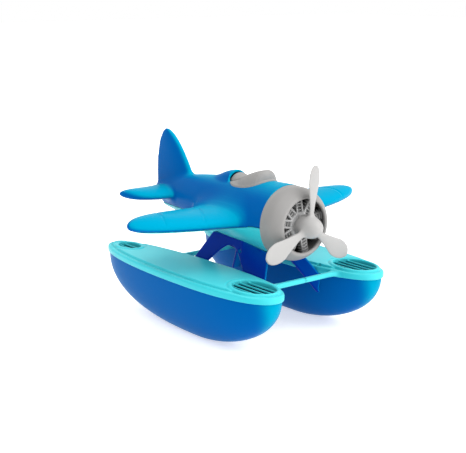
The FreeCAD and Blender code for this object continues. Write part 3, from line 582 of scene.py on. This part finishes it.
def outline_shares(grid, inset):
    """Where a point stands in the plan outline: shares of the length and of the half width."""
    ahead = grid.x > WIDE_X
    length = np.where(ahead, BOW_X - inset - WIDE_X, WIDE_X - STERN_X - inset)
    along = np.abs(grid.x - WIDE_X) / length
    across = np.abs(grid.y - CENTRE_Y) / (HALF_Y - inset)
    blunt = np.where(ahead, BOW_BLUNT, STERN_BLUNT)
    return along, across, blunt


def outline_field(grid):
    """Distance to the plan outline of a deck."""
    along, across, blunt = outline_shares(grid, 0.0)
    return even_plan(grid, along ** blunt + across ** SIDE_BLUNT - 1)


def hull_field(grid, inset, depth):
    """Boat-shaped form below the rim, with upright sides above it."""
    along, across, blunt = outline_shares(grid, inset)
    level = np.clip((RIM_LOW - grid.z) / depth, 0, 0.999)
    power = np.where(grid.x > WIDE_X, 2.0, 2.35)
    shrink = (1 - level ** power) ** (1 / power)
    side = (1 - level ** 2.2) ** (1 / 2.2)
    field = (along / shrink) ** blunt + (across / side) ** SIDE_BLUNT - 1
    return grid.even(field)


def hull():
    """Hollow port hull with a flat keel."""
    grid = Grid((-113, 24, -3), (118, 84, 53), 0.7)
    outer = hull_field(grid, RIM_OVERHANG, HULL_DEPTH)
    outer = keep_in(outer, -grid.z + 0 * outer, 1.0)
    inner = hull_field(grid, RIM_OVERHANG + HULL_WALL, HULL_DEPTH - HULL_WALL)
    inner = np.maximum(inner, HULL_WALL - grid.z)
    form = keep_in(outer, -inner, 0.6)
    form = keep_in(form, grid.z - HULL_TOP + 0 * form, 0.6)
    return grid.surface(form)


def oval_field(grid, x, half_length, half_width):
    """Distance to an oval in the middle of a deck."""
    return even_plan(grid, ((grid.x - x) / half_length) ** 2 + ((grid.y - CENTRE_Y) / half_width) ** 2 - 1)


def add_vent(grid, deck, x, half_length, half_width, bars):
    """Raised ring with a groove round it, and slats inside that stand lower than the ring."""
    opening = oval_field(grid, x, half_length, half_width)
    ring = keep_in(np.maximum(opening - 2.4, -opening) + 0 * grid.z,
                   np.abs(grid.z - (RIM_TOP - 0.5)) - 2.3 + 0 * opening, 1.5)
    deck = deck + 0.7 * np.exp(-((opening - 3.2) / 0.7) ** 2) * (grid.z > RIM_TOP - 1)
    deck = np.maximum(deck, -opening)
    deck = blend_in(deck, ring, 0.8)
    pitch = 2 * half_width / (bars + 1)
    for i in range(bars):
        y = CENTRE_Y - half_width + pitch * (i + 1)
        slat = keep_in(np.abs(grid.y - y) - SLAT_HALF + 0 * grid.z,
                       np.abs(grid.z - (RIM_TOP - 0.8)) - SLAT_HALF_HEIGHT + 0 * grid.y, 0.5)
        deck = np.minimum(deck, np.maximum(slat + 0 * grid.x, opening - 0.8))
    return deck


def bar_field(grid, x, inner_y):
    """Cross bar that widens towards the deck rim."""
    reach = np.clip((inner_y + 3 - grid.y) / 9.0, 0, 1)
    half = BAR_HALF + 4.5 * (1 - reach) ** 2.2
    across = np.abs(grid.x - x) - half + 0 * grid.z
    height = np.abs(grid.z - BAR_Z) - BAR_HALF + 0 * grid.x
    form = keep_in(across, height + 0 * across, 1.3)
    return np.maximum(form, grid.y - (inner_y + 4))


def deck():
    """Port deck with its half of the cross bars; the other half is its mirror image."""
    grid = Grid((-114, -1, 45), (119, 84, 57), 0.62)
    edge = outline_field(grid)
    plate = keep_in(edge + 0 * grid.z, grid.z - RIM_TOP + 0 * edge, 2.4)
    plate = keep_in(plate, RIM_LOW - grid.z + 0 * plate, 0.9)
    crown = keep_in(edge + 4.6 + 0 * grid.z, grid.z - (RIM_TOP + CROWN) + 0 * edge, 1.6)
    crown = np.maximum(crown, RIM_TOP - 3 - grid.z)
    form = blend_in(plate, crown, 0.7)
    form = form + 0.8 * np.exp(-((edge + 4.0) / 0.6) ** 2) * (grid.z > RIM_TOP - 1)
    for vent in VENTS:
        form = add_vent(grid, form, *vent)
    for x, inner_y in BARS:
        form = blend_in(form, bar_field(grid, x, inner_y), 1.5)
    hole = np.maximum(np.hypot(grid.x - RIM_HOLE_X, grid.y - RIM_HOLE_Y) - RIM_HOLE_R, 50 - grid.z)
    form = keep_in(form, -hole + 0 * form, 0.5)
    under = np.maximum(edge + RIM_OVERHANG, grid.z - (HULL_TOP + 0.2))
    form = np.maximum(form, -under)
    return grid.surface(form)


def mirrored(points, faces):
    """The mirror image in the plane of symmetry."""
    return points * (1, -1, 1), faces[:, ::-1]


def floats():
    """Two hulls, and the two decks that their cross bars join."""
    points, faces = hull()
    build("float_hull_port_moulding", points, faces, "float_hull_port", "airframe", "blue_plastic", blue)
    build("float_hull_starboard_moulding", *mirrored(points, faces), "float_hull_starboard",
          "airframe", "blue_plastic", blue)
    points, faces = deck()
    points, faces = both_sides(points, faces.astype(np.int64))
    build("float_decks_moulding", points, faces, "float_decks", "airframe", "teal_plastic", teal)


floats()


# ---------------------------------------------------------------- nose

def lathe(name, outline, node, body, slot, material, turns=144):
    """A turned piece about the propeller axis from a closed outline of (x, radius) points."""
    points, faces = [], []
    count = len(outline)
    for i in range(turns):
        angle = 2 * math.pi * i / turns
        for x, radius in outline:
            points.append((x, radius * math.sin(angle), AXIS_Z + radius * math.cos(angle)))
    for i in range(turns):
        for j in range(count):
            a, b = i * count, ((i + 1) % turns) * count
            k = (j + 1) % count
            faces.append((a + j, b + j, b + k, a + k))
    return build(name, np.array(points), np.array(faces), node, body, slot, material)


def smooth_line(points, steps=8):
    """Catmull-Rom points along an open line."""
    full = [points[0]] + list(points) + [points[-1]]
    out = []
    for p0, p1, p2, p3 in zip(full, full[1:], full[2:], full[3:]):
        for i in range(steps):
            t = i / steps
            out.append(tuple(0.5 * (2 * b + (c - a) * t + (2 * a - 5 * b + 4 * c - d) * t * t
                                    + (3 * b - a - 3 * c + d) * t ** 3)
                             for a, b, c, d in zip(p0, p1, p2, p3)))
    return out + [tuple(points[-1])]


def cowl():
    """Ring cowl: its outer side round to the lip of the mouth, then its inner side."""
    outside = smooth_line([(65.5, 29.0), (65.9, 29.9), (67.2, 30.0), (70, 29.7), (74, 29.8), (78, 29.2),
                           (82, 27.3), (85, 25.0), (86.1, 23.4), (86.0, 22.1), (85.0, 21.5), (83.4, 21.8)])
    inside = smooth_line([(82.6, 22.6), (80, 25.2), (77, 26.7), (73, 27.2), (68, 27.2), (65.5, 27.2)])
    lathe("engine_cowl_moulding", outside + inside, "engine_cowl", "airframe", "grey_plastic", grey)


SPINNER_BACK, SPINNER_TIP, SPINNER_R = 83.0, 103.6, 9.2
BLADES, BLADE_PHASE = 3, -5.3       # count, and turn of the first from straight up in degrees
BLADE_X, BLADE_REACH, BLADE_WIDTH = 91.9, 49.2, 15.4
SHAFT_R = 2.5


def propeller():
    """Bullet spinner with three paddle blades that grow out of it."""
    grid = Grid((81, -52, AXIS_Z - 52), (106, 52, AXIS_Z + 52), 0.5)
    radius = np.hypot(grid.y, grid.z - AXIS_Z)
    share = np.clip((grid.x - SPINNER_BACK) / (SPINNER_TIP - SPINNER_BACK), 0, 1)
    curve = SPINNER_R * np.sqrt(np.maximum(1 - np.maximum((share - 0.2) / 0.8, 0) ** 2.4, 1e-4))
    spinner = grid.even(radius ** 2 - (curve + 0 * grid.y) ** 2)
    spinner = keep_in(spinner, SPINNER_BACK - grid.x + 0 * spinner, 1.0)
    form = np.maximum(spinner, grid.x - SPINNER_TIP)
    for i in range(BLADES):
        turn = math.radians(BLADE_PHASE + 360 / BLADES * i)
        out = -grid.y * math.sin(turn) + (grid.z - AXIS_Z) * math.cos(turn)
        side = grid.y * math.cos(turn) + (grid.z - AXIS_Z) * math.sin(turn)
        part = np.clip(out / BLADE_REACH, 0.08, 1.0)
        pitch = np.radians(20 - 6 * part)
        along = -(grid.x - BLADE_X) * np.sin(pitch) + side * np.cos(pitch)
        across = (grid.x - BLADE_X) * np.cos(pitch) + side * np.sin(pitch)
        broad = 0.36 + 0.64 * np.clip((part - 0.24) / 0.46, 0, 1) ** 1.3
        tip = np.sqrt(np.maximum(1 - np.maximum((part - 0.74) / 0.26, 0) ** 2.2, 1e-3))
        chord = BLADE_WIDTH * broad * tip
        thick = 3.4 - 1.5 * part
        blade = (2 * along / chord) ** 2 + (2 * across / thick) ** 2 - 1
        blade = np.maximum(grid.even(blade), np.maximum(out - (BLADE_REACH - 0.1), 3 - out))
        form = blend_in(form, blade, 3.2)
    form = np.maximum(form, -np.maximum(radius - SHAFT_R, grid.x - 95.0))
    build("propeller_moulding", *grid.surface(form), "propeller",
          "propeller", "light_grey_plastic", light_grey)


CYLINDERS, CYLINDER_X, CYLINDER_R, CYLINDER_TOP = 9, 73.2, 5.0, 26.2
COOLING_PITCH, COOLING_DEPTH = 2.6, 0.9
# crankcase and its nose: radius and front face
CASE_R, CASE_FRONT = 10.8, 80.5
CASE_NOSE_R, CASE_NOSE_FRONT = 7.2, 82.2
BACK_PLATE_R, BACK_PLATE_X, BACK_PLATE_HALF = 26.4, 65.2, 2.0
# rocker bridge: half width, middle along X and outwards
BRIDGE_HALF, BRIDGE_X, BRIDGE_OUT = 3.8, 75.5, 24.2
ROD_R, ROD_SIDE = 0.95, 2.7


def engine():
    """Crankcase with nine finned cylinders, each with two pushrod tubes and a rocker bridge."""
    grid = Grid((60, -28, AXIS_Z - 28), (83.5, 28, AXIS_Z + 28), 0.4)
    radius = np.hypot(grid.y, grid.z - AXIS_Z)
    case = keep_in(radius - CASE_R + 0 * grid.x, grid.x - CASE_FRONT + 0 * radius, 3.0)
    nose = keep_in(radius - CASE_NOSE_R + 0 * grid.x, grid.x - CASE_NOSE_FRONT + 0 * radius, 0.8)
    form = blend_in(case, nose, 0.8)
    back = np.maximum(radius - BACK_PLATE_R, np.abs(grid.x - BACK_PLATE_X) - BACK_PLATE_HALF)
    form = blend_in(form, back, 0.6)
    angle = np.arctan2(grid.y, grid.z - AXIS_Z)
    slice_angle = 2 * math.pi / CYLINDERS
    fold = angle - slice_angle * np.round(angle / slice_angle)
    out = radius * np.cos(fold)
    side = radius * np.sin(fold)
    around = np.hypot(side, grid.x - CYLINDER_X)
    fins = COOLING_DEPTH * np.clip(np.cos(2 * math.pi * (out - 12.0) / COOLING_PITCH) * 1.6, -1, 1)
    barrel = np.maximum(around - CYLINDER_R - fins, out - CYLINDER_TOP)
    bridge = keep_in(np.abs(side) - BRIDGE_HALF + 0 * grid.x,
                     np.abs(grid.x - BRIDGE_X) - 2.6 + 0 * side, 1.2)
    bridge = np.maximum(bridge, np.abs(out - BRIDGE_OUT) - 1.4)
    rod_x = 80.0 - 0.21 * (out - 8.0)
    rod = np.hypot(np.abs(side) - ROD_SIDE, grid.x - rod_x) - ROD_R
    rod = np.maximum(rod, out - 24.5)
    cylinders = np.minimum(np.minimum(barrel, bridge), rod)
    cylinders = np.maximum(cylinders, 7.5 - out)
    form = np.minimum(form, cylinders)
    form = np.maximum(form, radius - 26.9)
    form = np.maximum(form, 60.7 - grid.x)
    form = np.maximum(form, -(radius - (SHAFT_R + 0.1)))
    build("radial_engine_moulding", *grid.surface(form), "radial_engine",
          "airframe", "engine_plastic", engine_grey)


cowl()
propeller()
engine()

NODE_LOOKS = [
    # node, voxel, edge radius, corner radius, body, slot, material
    # the strut frame takes the darker copy of the blue, painted shade
    ("strut_frame", 0.45, 0.6, 0.7, "airframe", "blue_plastic", painted_shade_blue),
    ("saddle_pins", 0.25, 0.3, 0.3, "airframe", "blue_plastic", blue),
    ("foot_pins", 0.25, 0.3, 0.3, "airframe", "blue_plastic", blue),
    ("propeller_shaft", 0.25, 0.3, 0.0, "propeller", "light_grey_plastic", light_grey),
    ("shaft_retainer", 0.2, 0.3, 0.0, "propeller", "light_grey_plastic", light_grey),
]
for node, step, edge, corner, body, slot, material in NODE_LOOKS:
    points, quads = softened(node, step, edge, corner)
    build(node + "_moulding", points, quads, node, body, slot, material)


# ---------------------------------------------------------------- stage, light, camera

# in metres, as the camera's places are
FLOOR_HALF = 6.0
FLOOR_GLOW = 0.55
CAMERA_PLACE, CAMERA_TARGET, LENS = (0.6894, -0.5576, 0.2821), (-0.0048, 0.0, 0.0775), 82.6


def floor_material():
    """Pale floor that gives off some light, which keeps the shadows faint."""
    material = bpy.data.materials.new("pale_floor")
    material.use_nodes = True
    nodes, links = material.node_tree.nodes, material.node_tree.links
    shader = nodes["Principled BSDF"]
    noise = nodes.new("ShaderNodeTexNoise")
    noise.inputs["Scale"].default_value = 3.0
    ramp = nodes.new("ShaderNodeValToRGB")
    ramp.color_ramp.elements[0].color = (0.80, 0.80, 0.80, 1)
    ramp.color_ramp.elements[1].color = (0.82, 0.82, 0.82, 1)
    links.new(noise.outputs["Fac"], ramp.inputs["Fac"])
    links.new(ramp.outputs["Color"], shader.inputs["Base Color"])
    shader.inputs["Roughness"].default_value = 0.6
    shader.inputs["Specular IOR Level"].default_value = 0.25
    shader.inputs["Emission Color"].default_value = (1, 1, 1, 1)
    shader.inputs["Emission Strength"].default_value = FLOOR_GLOW
    return material


def stage():
    mesh = bpy.data.meshes.new("floor")
    r = FLOOR_HALF
    mesh.from_pydata([(-r, -r, 0), (r, -r, 0), (r, r, 0), (-r, r, 0)], [], [(0, 1, 2, 3)])
    mesh.materials.append(floor_material())
    floor = bpy.data.objects.new("floor", mesh)
    bpy.context.scene.collection.objects.link(floor)


def sun(name, direction, softness, strength):
    """Even light from one side; softness is its apparent size in degrees."""
    data = bpy.data.lights.new(name, "SUN")
    data.energy = strength
    data.angle = math.radians(softness)
    light = bpy.data.objects.new(name, data)
    light.rotation_euler = Vector(direction).to_track_quat("Z", "Y").to_euler()
    bpy.context.scene.collection.objects.link(light)


def lights():
    world = bpy.data.worlds.new("studio")
    world.use_nodes = True
    world.node_tree.nodes["Background"].inputs["Color"].default_value = (1, 1, 1, 1)
    world.node_tree.nodes["Background"].inputs["Strength"].default_value = 1.0
    bpy.context.scene.world = world
    sun("key", (0.75, 0.55, 1.1), softness=50, strength=1.9)
    sun("top", (-0.3, -0.25, 1.0), softness=70, strength=0.7)
    sun("bow", (1.0, 0.25, 0.3), softness=50, strength=0.9)


def camera():
    data = bpy.data.cameras.new("camera")
    data.lens = LENS
    data.sensor_width = 36.0
    data.clip_start = 0.01
    place, target = Vector(CAMERA_PLACE), Vector(CAMERA_TARGET)
    view = bpy.data.objects.new("camera", data)
    view.location = place
    view.rotation_euler = (target - place).to_track_quat("-Z", "Y").to_euler()
    bpy.context.scene.collection.objects.link(view)
    bpy.context.scene.camera = view


stage()
lights()
camera()
bpy.context.scene.view_settings.view_transform = "Standard"
